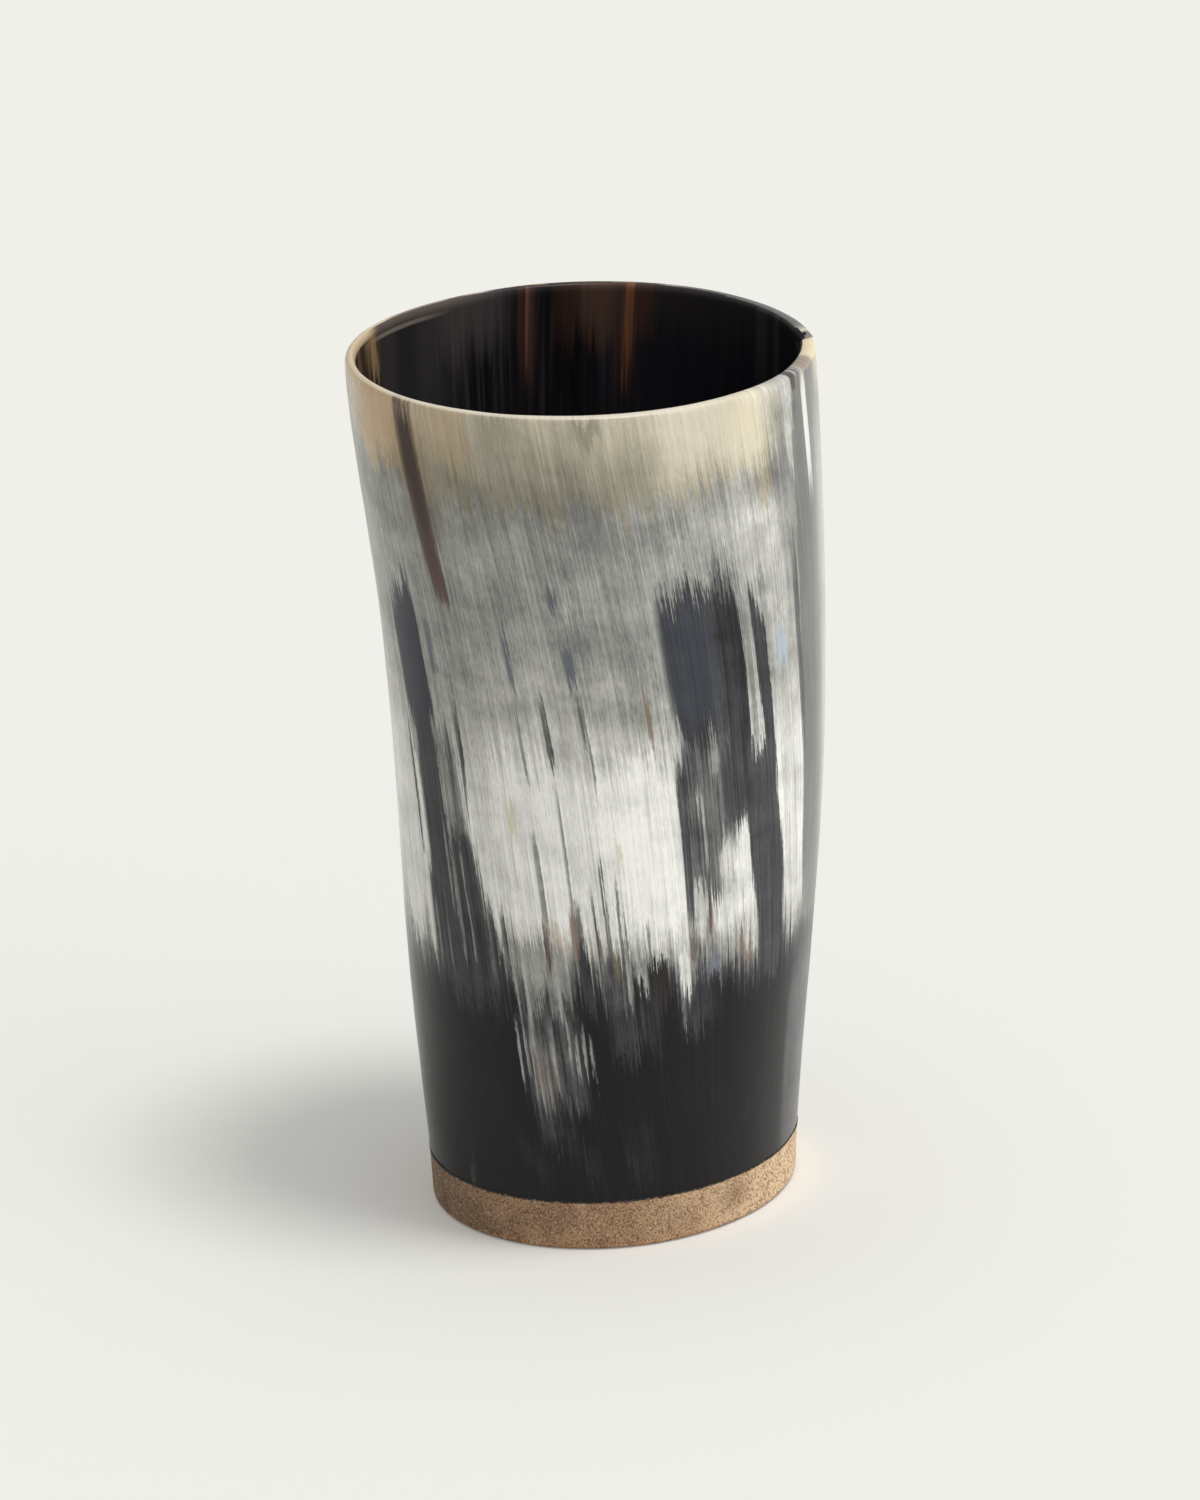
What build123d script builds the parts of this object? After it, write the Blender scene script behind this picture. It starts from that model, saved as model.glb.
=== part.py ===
"""Horn drinking cup: a leaning, oval horn wall bonded to a rebated wooden base and sealed inside.

The cup stands on z = 0 with the origin at the middle of its foot. X runs across the cup, and the
horn leans towards -X as it rises. All sizes are in millimetres.
"""

import math
import os
from collections import namedtuple

from build123d import *

# Height and mean outside radius of the horn, from the foot to the mouth. Just above the foot the
# horn carries on the base's taper, so the shank's radius follows the foot's.
cup_height = 150.0
foot_radius = 30.65
shank_flare = 1.35
shank_radius = foot_radius + shank_flare
waist_radius = 34.4
belly_radius = 36.05
shoulder_radius = 37.65
mouth_radius = 38.7

# Where the middle stations lie, as shares of the cup's height
shank_share = 0.14
waist_share = 0.33
belly_share = 0.55
shoulder_share = 0.78

# How far the horn has leant towards -X at each station
shank_lean = 0.55
waist_lean = 0.85
belly_lean = 1.1
shoulder_lean = 3.1
mouth_lean = 6.0

# A horn's section is oval, and a little egg shaped near its tip end
foot_oval = 3.0
mouth_oval = 1.7
oval_angle = math.radians(43.0)
foot_egg = 0.3
mouth_egg = 0.2
egg_angle = math.radians(-52.0)
section_points = 16

# The wall is thicker at the foot, and thicker on the +X side all the way up
foot_wall = 3.2
mouth_wall = 2.2
bore_shift = 0.5
lip_round = 0.7
# The lip's two rounds may each take up to this share of the lip where it is thinnest
lip_share = 0.45

# Wooden base: the disc that shows, and the spigot that the horn is pushed over
base_thickness = 8.8
spigot_length = 9.0
foot_round = 0.9

# Adhesive in the joint, and the sealing coat poured over the spigot
glue_thickness = 0.25
coat_thickness = 1.0
bead_width = 2.0
bead_height = 2.0
bead_land = 0.3

Station = namedtuple("Station", "share radius lean")
stations = [
    Station(0.0, foot_radius, 0.0),
    Station(shank_share, shank_radius, shank_lean),
    Station(waist_share, waist_radius, waist_lean),
    Station(belly_share, belly_radius, belly_lean),
    Station(shoulder_share, shoulder_radius, shoulder_lean),
    Station(1.0, mouth_radius, mouth_lean),
]

# Heights that the pieces meet at
seam_height = base_thickness
horn_start = seam_height + glue_thickness
spigot_top = seam_height + spigot_length
coat_top = spigot_top + coat_thickness
bead_top = coat_top + bead_height


def between(at_foot, at_mouth, share):
    """A size that changes evenly from the foot to the mouth."""
    return at_foot + (at_mouth - at_foot) * share


def oval_outline(station, inset, shift):
    """Points round the horn's section at one station, drawn in by inset and moved by shift."""
    oval = between(foot_oval, mouth_oval, station.share)
    egg = between(foot_egg, mouth_egg, station.share)
    points = []
    for step in range(section_points):
        angle = 2 * math.pi * step / section_points
        radius = station.radius - inset
        radius += oval * math.cos(2 * (angle - oval_angle))
        radius += egg * math.cos(3 * (angle - egg_angle))
        x = radius * math.cos(angle) - station.lean - shift
        points.append((x, radius * math.sin(angle)))
    return points


def horn_form(extra_inset, walled):
    """A solid of the horn's form, from the foot to the mouth: its outside, or its bore if walled."""
    with BuildPart() as form:
        for station in stations:
            wall = between(foot_wall, mouth_wall, station.share) if walled else 0.0
            shift = bore_shift if walled else 0.0
            with BuildSketch(Plane.XY.offset(cup_height * station.share)):
                with BuildLine():
                    Spline(*oval_outline(station, wall + extra_inset, shift), periodic=True)
                make_face()
        loft()
    return form.part


def slice_of(form, low, high):
    """The stretch of a form between two heights."""
    with BuildPart() as piece:
        add(form)
        split(bisect_by=Plane.XY.offset(low), keep=Keep.TOP)
        split(bisect_by=Plane.XY.offset(high), keep=Keep.BOTTOM)
    return piece.part


outside = horn_form(extra_inset=0.0, walled=False)
bore = horn_form(extra_inset=0.0, walled=True)
spigot = slice_of(horn_form(extra_inset=glue_thickness, walled=True), seam_height, spigot_top)

# Horn wall: the hollow horn, cut square at both ends, with a rounded lip
with BuildPart() as horn_body:
    add(outside)
    add(bore, mode=Mode.SUBTRACT)
    split(bisect_by=Plane.XY.offset(horn_start), keep=Keep.TOP)
    lip_edges = horn_body.faces().filter_by(Axis.Z).sort_by(Axis.Z)[-1].edges()
    thinnest_lip = mouth_wall - bore_shift
    fillet(lip_edges, radius=min(lip_round, lip_share * thinnest_lip))
horn_body.part.label = "horn_body"

# Wooden base: a disc flush with the horn outside, and the spigot inside it
with BuildPart() as wood_base:
    add(outside)
    split(bisect_by=Plane.XY.offset(seam_height), keep=Keep.BOTTOM)
    foot_edges = wood_base.faces().filter_by(Axis.Z).sort_by(Axis.Z)[0].edges()
    fillet(foot_edges, radius=foot_round)
    add(spigot)
wood_base.part.label = "wood_base"

# Adhesive: a washer under the horn's cut end and a sleeve round the spigot
with BuildPart() as glue_seam:
    add(slice_of(outside, seam_height, horn_start))
    add(slice_of(bore, seam_height, spigot_top))
    add(spigot, mode=Mode.SUBTRACT)
glue_seam.part.label = "glue_seam"

# Sealing coat: a thin clear floor over the spigot, with a sloping bead against the wall
with BuildPart() as floor_coat:
    add(slice_of(bore, spigot_top, bead_top))
    add(slice_of(horn_form(bead_width, walled=True), coat_top, bead_top), mode=Mode.SUBTRACT)
    bead_edge = floor_coat.faces().filter_by(Axis.Z).sort_by(Axis.Z)[-1].inner_wires()[0].edges()
    chamfer(bead_edge, length=bead_height - bead_land, length2=bead_width - bead_land)
floor_coat.part.label = "floor_coat"

os.makedirs("parts", exist_ok=True)
for piece in (horn_body, wood_base, glue_seam, floor_coat):
    export_step(piece.part, f"parts/{piece.part.label}.step")
    box = piece.part.bounding_box()
    print(piece.part.label, "volume", round(piece.part.volume), "size", box.size)
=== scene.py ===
# %% [markdown]
# # A horn drinking cup
# The real cup is a length of cattle horn, cut square at both ends, scraped thin and polished, and
# pushed over the spigot of a wooden base. Glue fills the joint and a clear coat seals the floor.
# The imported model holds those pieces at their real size, so everything below is fitted to it and
# nothing is moved. All places are in metres, and `mm` turns real sizes into them.

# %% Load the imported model
import math
from collections import namedtuple

import bpy
import numpy as np
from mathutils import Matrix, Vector


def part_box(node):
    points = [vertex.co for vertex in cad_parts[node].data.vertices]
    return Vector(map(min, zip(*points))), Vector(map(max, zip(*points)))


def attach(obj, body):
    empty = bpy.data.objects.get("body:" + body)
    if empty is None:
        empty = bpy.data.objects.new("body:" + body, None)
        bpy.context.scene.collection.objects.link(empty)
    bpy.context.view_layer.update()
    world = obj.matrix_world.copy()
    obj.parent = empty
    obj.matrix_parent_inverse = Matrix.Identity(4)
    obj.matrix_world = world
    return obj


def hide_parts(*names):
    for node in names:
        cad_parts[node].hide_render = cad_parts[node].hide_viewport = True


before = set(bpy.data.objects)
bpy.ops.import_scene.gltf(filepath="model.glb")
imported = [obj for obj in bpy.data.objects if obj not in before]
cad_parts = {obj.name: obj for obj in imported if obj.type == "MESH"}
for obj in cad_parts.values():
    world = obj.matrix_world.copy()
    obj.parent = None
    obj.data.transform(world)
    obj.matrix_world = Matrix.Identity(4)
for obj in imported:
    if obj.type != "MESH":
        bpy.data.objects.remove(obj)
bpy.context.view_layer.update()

mm = 0.001
scene = bpy.context.scene
horn_low, horn_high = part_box("horn_body")
base_low, base_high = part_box("wood_base")
seam_low, seam_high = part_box("glue_seam")
print("pieces in the frame:", sorted(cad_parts))

# %% [markdown]
# ## The camera
# The photograph is taken with a long lens from a little above the cup, so upright edges stay almost
# upright. The camera is placed by the angle it looks down at and the point it aims for, which keeps
# its framing easy to correct.

# %% Place the camera
camera_distance = 1.2
camera_pitch = math.radians(20.5)
camera_aim = Vector((-2.93 * mm, 0.0, 78.73 * mm))
camera_back = Vector((0.0, -math.cos(camera_pitch), math.sin(camera_pitch)))
# Blender takes these two in millimetres.
lens_length, film_width = 170.4, 36.0
bpy.ops.object.select_all(action="DESELECT")
bpy.ops.object.camera_add(
    location=camera_aim + camera_back * camera_distance,
    rotation=(math.pi / 2 - camera_pitch, 0.0, 0.0),
)
camera = bpy.context.object
camera.data.lens = lens_length
camera.data.sensor_width = film_width
scene.camera = camera
print("camera at", [round(part, 3) for part in camera.location])

# %% [markdown]
# ## Tools that the pieces share
# Every piece of this cup is a stack of rings: the horn outside and inside, the base and the glue.
# A ring stack starts as a circle, and its edge is extruded straight up again and again. Shrinkwrap
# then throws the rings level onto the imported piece, which leaves each at its height, and Subdivision
# Surface makes the coarse cage smooth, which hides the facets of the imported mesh.

# %% Make a ring stack
points_around = 64
stack_middle = (horn_low.x + horn_high.x) / 2
# A ring starts outside every piece, or inside the bore, and is thrown from there.
outside_start, bore_start = 50 * mm, 20 * mm


def ring_stack(name, radius, heights, around=points_around):
    """An upright tube of rings, one at each height."""
    bpy.ops.object.select_all(action="DESELECT")
    bpy.ops.mesh.primitive_circle_add(
        vertices=around, radius=radius, location=(stack_middle, 0.0, heights[0])
    )
    tube = bpy.context.object
    tube.name = name
    bpy.ops.object.transform_apply(location=True, rotation=False, scale=False)
    bpy.ops.object.mode_set(mode="EDIT")
    bpy.ops.mesh.select_all(action="SELECT")
    for low, high in zip(heights, heights[1:]):
        bpy.ops.mesh.extrude_region_move(TRANSFORM_OT_translate={"value": (0.0, 0.0, high - low)})
    bpy.ops.object.mode_set(mode="OBJECT")
    return tube


print("a ring has", points_around, "points")

# %% Apply modifiers and select by place
def make_active(piece):
    """Select one piece and nothing else."""
    bpy.ops.object.select_all(action="DESELECT")
    bpy.context.view_layer.objects.active = piece
    piece.select_set(True)


def apply_modifier(piece, kind, **settings):
    """Add a modifier, give it its settings and apply it."""
    make_active(piece)
    modifier = piece.modifiers.new(kind.lower(), kind)
    for setting, value in settings.items():
        setattr(modifier, setting, value)
    bpy.ops.object.modifier_apply(modifier=modifier.name)


def throw_onto(piece, node):
    """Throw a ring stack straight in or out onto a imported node."""
    apply_modifier(
        piece, "SHRINKWRAP", target=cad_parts[node], wrap_method="PROJECT",
        use_positive_direction=True, use_negative_direction=True,
    )


def select_vertices(piece, chosen):
    """Go to edit mode with only those vertices selected whose place makes chosen true."""
    make_active(piece)
    bpy.ops.object.mode_set(mode="EDIT")
    bpy.ops.mesh.select_mode(type="VERT")
    bpy.ops.mesh.select_all(action="DESELECT")
    bpy.ops.object.mode_set(mode="OBJECT")
    for vertex in piece.data.vertices:
        vertex.select = bool(chosen(vertex.co))
    bpy.ops.object.mode_set(mode="EDIT")


# %% [markdown]
# ## The horn wall
# A horn is an uneven oval tube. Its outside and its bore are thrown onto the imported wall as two
# stacks, joined, and bridged at the lip and at the cut end. The lip's middle loop is lifted, so the
# drinking edge comes out rounded, as a scraped and polished lip is.

# %% Stack the rings of the outside and the bore
# The rings lie closer together at the cut end and at the lip, where the wall turns.
lip_round = 0.35 * mm
cut_round = 0.02 * mm
bridge_step = 0.1 * mm
cut_steps = (0.3 * mm, 3 * mm)
lip_steps = (5 * mm, 2.4 * mm, 1.2 * mm)
even_rings = 22
body_heights = [
    horn_low.z + cut_steps[0],
    *np.linspace(horn_low.z + cut_steps[1], horn_high.z - lip_steps[0], even_rings),
    *[horn_high.z - step for step in lip_steps[1:]],
]
wall_heights = [horn_low.z + cut_round, *body_heights, horn_high.z - lip_round]
bore_heights = [wall_heights[0] + bridge_step, *body_heights, wall_heights[-1] + bridge_step]
horn_wall = ring_stack("horn_wall", outside_start, wall_heights)
throw_onto(horn_wall, "horn_body")
horn_bore = ring_stack("horn_bore", bore_start, bore_heights)
throw_onto(horn_bore, "horn_body")
print("rings of each wall:", len(wall_heights))

# %% Measure the horn's middle line on its rings
wall_points = np.array([vertex.co for vertex in horn_wall.data.vertices])
ring_sides = wall_points[:, 0].reshape(len(wall_heights), points_around)
middle_line = (ring_sides.min(axis=1) + ring_sides.max(axis=1)) / 2


def middle_at(height):
    """X of the horn's middle line at a height, or at many heights."""
    return np.interp(height, wall_heights, middle_line)


print("the horn leans", round((middle_line[0] - middle_line[-1]) / mm, 1), "mm towards -X")

# %% Join the two walls and close the lip and the cut end
# Only the last ring of each wall lies this near to an end.
cut_zone, lip_zone = 0.2 * mm, 0.6 * mm
bpy.ops.object.select_all(action="DESELECT")
horn_bore.select_set(True)
horn_wall.select_set(True)
bpy.context.view_layer.objects.active = horn_wall
bpy.ops.object.join()
select_vertices(horn_wall, lambda place: place.z < horn_low.z + cut_zone)
bpy.ops.mesh.bridge_edge_loops()
bpy.ops.object.mode_set(mode="OBJECT")
select_vertices(horn_wall, lambda place: place.z > horn_high.z - lip_zone)
bpy.ops.mesh.bridge_edge_loops(number_cuts=1, interpolation="LINEAR")
bpy.ops.object.mode_set(mode="OBJECT")
lip_crest = horn_high.z - lip_round + bridge_step / 2
select_vertices(horn_wall, lambda place: abs(place.z - lip_crest) < bridge_step / 4)
bpy.ops.transform.translate(value=(0.0, 0.0, horn_high.z - lip_crest))
bpy.ops.mesh.select_all(action="SELECT")
bpy.ops.mesh.normals_make_consistent(inside=False)
bpy.ops.object.mode_set(mode="OBJECT")
print("closed wall:", len(horn_wall.data.polygons), "faces")

# %% Smooth the wall and leave it a little uneven
# A crease keeps the cut end sharp where it sits on the wood.
unevenness_size = 28 * mm
horn_unevenness, base_unevenness = 0.35 * mm, 0.2 * mm
select_vertices(horn_wall, lambda place: abs(place.z - wall_heights[0]) < bridge_step / 4)
bpy.ops.transform.edge_crease(value=1.0)
bpy.ops.object.mode_set(mode="OBJECT")
apply_modifier(horn_wall, "SUBSURF", levels=2, render_levels=2)
scraped_unevenness = bpy.data.textures.new("scraped_unevenness", "CLOUDS")
scraped_unevenness.noise_scale = unevenness_size
apply_modifier(
    horn_wall, "DISPLACE", texture=scraped_unevenness, texture_coords="LOCAL",
    strength=horn_unevenness, mid_level=0.5,
)
print("smooth wall:", len(horn_wall.data.polygons), "faces")

# %% Nick the lip
# A chip is missing from the inner edge of the lip, at the right.
nick_angle = math.radians(12)
nick_width, nick_depth = 2.6 * mm, 0.7 * mm
crest_depth = 0.3 * mm


def angle_of(place):
    """The angle of a place round the horn's middle line."""
    return math.atan2(place.y, place.x - float(middle_at(place.z)))


crest = [vertex.co for vertex in horn_wall.data.vertices if vertex.co.z > horn_high.z - crest_depth]
nick = min(crest, key=lambda place: abs(angle_of(place) - nick_angle)).copy()
outwards = Vector((math.cos(nick_angle), math.sin(nick_angle), 0.0))
nick -= outwards * nick_depth
select_vertices(horn_wall, lambda place: (place - nick).length < nick_width / 2)
bpy.ops.transform.translate(
    value=outwards * nick_depth - Vector((0.0, 0.0, nick_depth)), use_proportional_edit=True,
    proportional_edit_falloff="SMOOTH", proportional_size=nick_width,
)
bpy.ops.object.mode_set(mode="OBJECT")
bpy.ops.object.shade_smooth()
print("nick at", [round(part / mm, 1) for part in nick])

# %% [markdown]
# ## Places along the fibres
# Horn grows as fibres that run up it and wind slowly round it, and its colours follow them. Each
# point of the wall therefore also stores its place on a straightened horn, a round one whose fibres
# stand upright. Patterns read that place, so a streak needs no seam and bends as the horn does.

# %% Store the straightened places
# The fibres wind by fibre_slope degrees for each millimetre, counted from fibre_level.
fibre_radius = 36 * mm
fibre_slope, fibre_level = 0.17, 75.0


def turn_of(angle, height):
    """Degrees round the straightened horn, from degrees round the real one and millimetres up it."""
    return angle + fibre_slope * (height - fibre_level)


def straightened(angle, height):
    """A point of the straightened horn, from degrees round the real one and millimetres up it."""
    turn = np.radians(turn_of(angle, height))
    return np.stack(
        [fibre_radius * np.cos(turn), fibre_radius * np.sin(turn), height * mm], axis=-1
    )


points = np.array([vertex.co for vertex in horn_wall.data.vertices])
angles = np.degrees(np.arctan2(points[:, 1], points[:, 0] - middle_at(points[:, 2])))
places = straightened(angles, points[:, 2] / mm)
attribute = horn_wall.data.attributes.new("fibre_place", "FLOAT_VECTOR", "POINT")
attribute.data.foreach_set("vector", places.astype(np.float32).ravel())
print("straightened places:", len(places))

# %% [markdown]
# ## Tools for the finishes
# One function turns a written sRGB colour into the linear one that shading needs, and one adds a
# node with its settings, its stops if it is a ramp, and its links.

# %% Colour and node tools
def linear(hex_colour):
    """The linear colour, with alpha, of an sRGB hex value such as b08c69."""
    channels = [int(hex_colour[start:start + 2], 16) / 255 for start in (0, 2, 4)]
    steep = [((part + 0.055) / 1.055) ** 2.4 if part > 0.04045 else part / 12.92 for part in channels]
    return (*steep, 1.0)


def add_node(tree, kind, inputs=None, stops=None, **settings):
    """Add one node, with its settings, its ramp stops and its inputs, as values or as links."""
    node = tree.nodes.new("ShaderNode" + kind)
    for setting, value in settings.items():
        setattr(node, setting, value)
    if stops:
        ramp = node.color_ramp
        while len(ramp.elements) < len(stops):
            ramp.elements.new(1.0)
        for element, (place, colour) in zip(ramp.elements, stops):
            element.position = place
            element.color = colour
    for socket, value in (inputs or {}).items():
        if isinstance(value, bpy.types.NodeSocket):
            tree.links.new(value, node.inputs[socket])
        else:
            node.inputs[socket].default_value = value
    return node


def new_finish(name):
    """A new material with its node tree and its shader."""
    material = bpy.data.materials.new(name)
    material.use_nodes = True
    tree = material.node_tree
    return material, tree, tree.nodes["Principled BSDF"]


# %% [markdown]
# ## Polished horn
# Horn is keratin, clear to milky, with black pigment laid down in streaks along its fibres. Polished
# on a wheel it is satin rather than mirror bright. The tones are built as a painter would: a ground
# that goes from black at the tip end to pale above, then patches laid over it one by one, with every
# edge pulled out along the fibres by streaky noise. Last a ramp turns the tone into colour.
#
# A patch is given by its middle, in degrees round the horn and millimetres up it, half its width in
# degrees and half its length in millimetres. Its edge says how soft it is, from 0 to 1, and its lean
# is in degrees away from the fibres.

# %% The kinds of streak
# Each has its width and length in millimetres, how far it pulls the edges of patches along the
# fibres, in millimetres, and how much it lightens and darkens the horn by itself. Real fibres are
# finer than the kind called hair, which is drawn as coarse as it needs to be to show.
Streak = namedtuple("Streak", "width length pull strength")
streak_kinds = {
    "broad": Streak(7.0, 80.0, 7.0, 0.06),
    "middling": Streak(2.0, 50.0, 9.0, 0.055),
    "fine": Streak(0.6, 28.0, 11.0, 0.08),
    "hair": Streak(0.26, 16.0, 12.0, 0.11),
    "stipple": Streak(0.35, 1.4, 6.0, 0.07),
    "cloud": Streak(8.0, 7.0, 4.0, 0.11),
    "ripple": Streak(16.0, 6.0, 2.0, 0.04),
}
# Streaks longer than this many millimetres are long. The gains say how strong long and short streaks
# are on each tone.
long_streak = 10.0
gain_stops = {
    "long": [(0.15, 0.25), (0.24, 0.4), (0.31, 0.55), (0.4, 1.2), (0.5, 0.65), (0.95, 0.7)],
    "short": [(0.15, 0.1), (0.35, 0.45), (0.5, 0.55), (0.6, 0.85), (0.95, 0.6)],
}
# The share of each pull that goes sideways
sideways_pull = 0.08
print("kinds of streak:", ", ".join(streak_kinds))

# %% The ground and the colours
# Tones go from black at 0 to white at 1. The ground has a tone for each height in millimetres.
ground_tones = [
    (0, 0.15), (40, 0.15), (45, 0.18), (49, 0.30), (53, 0.54), (58, 0.74), (64, 0.82), (86, 0.82),
    (93, 0.70), (100, 0.62), (110, 0.57), (124, 0.57), (132, 0.53), (136, 0.51), (140, 0.56),
    (144, 0.63), (150, 0.71),
]
horn_colours = [
    (0.0, "070508"), (0.15, "0b090c"), (0.2, "1d1b1f"), (0.3, "474649"), (0.4, "676766"),
    (0.5, "858581"), (0.6, "a2a29d"), (0.7, "bebdb8"), (0.8, "d9d9d5"), (0.9, "f3f2ee"),
    (1.0, "faf9f5"),
]
print("ground tones:", len(ground_tones), "colours:", len(horn_colours))

# %% Tones of the heart and the right side
# A later patch lies over the ones before it.
Patch = namedtuple("Patch", "angle height half_angle half_height tone edge lean", defaults=(0.0,))
tone_patches = [
    # The pale heart of the front and its left half
    Patch(-110, 73, 13, 18, 0.86, 0.6),
    Patch(-82, 75, 12.5, 18, 0.88, 0.5),
    # Streaky grey right of the heart, and the dark line along its edge
    Patch(-60.5, 78, 9.5, 16.5, 0.37, 0.4),
    Patch(-68.6, 74, 1.8, 18, 0.31, 0.7),
    Patch(-65.6, 84, 0.6, 8, 0.58, 0.9),
    Patch(-62.4, 74, 0.6, 9, 0.58, 0.9),
    Patch(-63.2, 61, 3.2, 6, 0.66, 0.9),
    Patch(-60.2, 61, 0.7, 8, 0.32, 0.9),
    # The dark patch of the right side
    Patch(-55, 134, 24, 9, 0.62, 1.0),
    Patch(-59, 126, 14, 8, 0.645, 1.0),
    Patch(-56, 118, 4.5, 6, 0.40, 1.0),
    Patch(-63, 105, 11.8, 16, 0.27, 0.45),
    Patch(-52.3, 101, 4.2, 19, 0.24, 0.25, 1),
    Patch(-53, 84, 4.8, 9, 0.27, 0.6),
    Patch(-60, 90, 1.9, 5, 0.55, 0.9),
    Patch(-66, 88, 3.4, 5, 0.36, 0.9),
    # The pale ground right of it, with the second column and the gap between the two
    Patch(-45, 124, 9, 8, 0.70, 0.9),
    Patch(-36, 119, 5.5, 11, 0.73, 0.9),
    Patch(-34.5, 108, 5, 14, 0.66, 0.7),
    Patch(-41, 99, 2.4, 18, 0.26, 0.3, 3),
    Patch(-39.5, 72, 7.4, 18, 0.27, 0.25, 4.5),
    Patch(-35, 55, 6.5, 10, 0.27, 0.35, 5),
    Patch(-46.7, 103, 1.4, 14, 0.50, 0.9, 1),
    Patch(-45, 93, 1.8, 4, 0.60, 0.9),
    # The white patch and the white strip of the right side
    Patch(-51, 65.5, 6.6, 10, 0.77, 0.95, 1),
    Patch(-54.5, 67, 2.6, 8, 0.72, 1.0, 1),
    Patch(-43, 58, 1.4, 6, 0.76, 0.9),
    Patch(-52.5, 69, 0.6, 6, 0.60, 0.9),
    Patch(-48, 62, 0.5, 7, 0.62, 0.9),
    Patch(-27.4, 72, 3.6, 22, 0.72, 0.4, 2.6),
    Patch(-26.5, 72, 2.0, 18, 0.80, 0.9, 2.6),
]
print("tone patches so far:", len(tone_patches))

# %% Tones of the grey side and under the lip
tone_patches += [
    # The grey side: grey horn with a painted reflection that brightens towards the right edge, and the
    # flashes under its lip
    Patch(-7, 101, 16, 54, 0.43, 0.12, -3.0),
    Patch(4, 100, 18, 52, 0.53, 0.7, -3.0),
    Patch(6, 100, 15, 52, 0.70, 0.9, -3.0),
    # Painted reflection along the right edge of the black foot
    Patch(-6, 26, 15, 24, 0.29, 0.5, -3.0),
    Patch(-24, 102, 1.8, 24, 0.33, 0.9),
    Patch(-21.5, 137, 2.2, 13, 0.42, 0.9),
    Patch(-15.2, 139, 2.3, 14, 0.84, 0.9),
    Patch(-44, 145, 13, 10, 0.77, 1.0),
    Patch(-27.5, 141, 2.2, 8, 0.70, 0.9),
    # Lighter and darker places under the front of the lip
    Patch(-62, 147, 15, 12, 0.77, 1.0),
    Patch(-89, 149, 5, 3.5, 0.55, 1.0),
    Patch(-111, 149, 7, 5, 0.60, 1.0),
]
print("tone patches so far:", len(tone_patches))

# %% Tones of the left side
tone_patches += [
    # The dark streaks of the left side and the pale strips beside them
    Patch(-154.5, 68, 6.5, 16, 0.82, 0.3),
    Patch(-152, 145, 14, 11, 0.74, 1.0),
    Patch(-145, 101, 6.4, 12.5, 0.21, 0.35),
    Patch(-147, 111, 1.8, 8, 0.23, 0.6),
    Patch(-144.4, 109, 3.2, 9.5, 0.23, 0.5),
    Patch(-133.5, 79, 5.2, 16, 0.42, 0.9, 1),
    Patch(-140.2, 77, 5.2, 19, 0.24, 0.5, 1),
    Patch(-148.3, 80, 0.8, 14, 0.34, 0.8),
    Patch(-146.8, 88, 1.8, 3.6, 0.56, 0.9),
    Patch(-130, 60, 6.6, 17, 0.24, 0.6, 1.0),
    Patch(-137.5, 58, 6.0, 14, 0.26, 0.5),
    Patch(-124.6, 60, 1.3, 12, 0.28, 1.0, 1.0),
    Patch(-122.6, 57, 0.6, 10, 0.36, 1.0, 1.0),
    Patch(-129.5, 87, 0.8, 12, 0.36, 0.9),
    Patch(-133.2, 86, 0.6, 10, 0.40, 0.9),
    Patch(-136, 80, 0.7, 13, 0.55, 0.9),
    Patch(-132.6, 61, 0.7, 10, 0.46, 1.0),
    Patch(-135.4, 66, 0.6, 10, 0.46, 1.0),
    Patch(-128.4, 56, 0.6, 8, 0.44, 1.0),
    Patch(-130.4, 66, 0.5, 7, 0.48, 1.0),
    Patch(-137.5, 57, 0.8, 8, 0.38, 0.9),
    Patch(-141, 55, 0.7, 8, 0.42, 0.9),
    Patch(-144.8, 59, 1.2, 9, 0.80, 0.8),
]
print("tone patches so far:", len(tone_patches))

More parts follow.
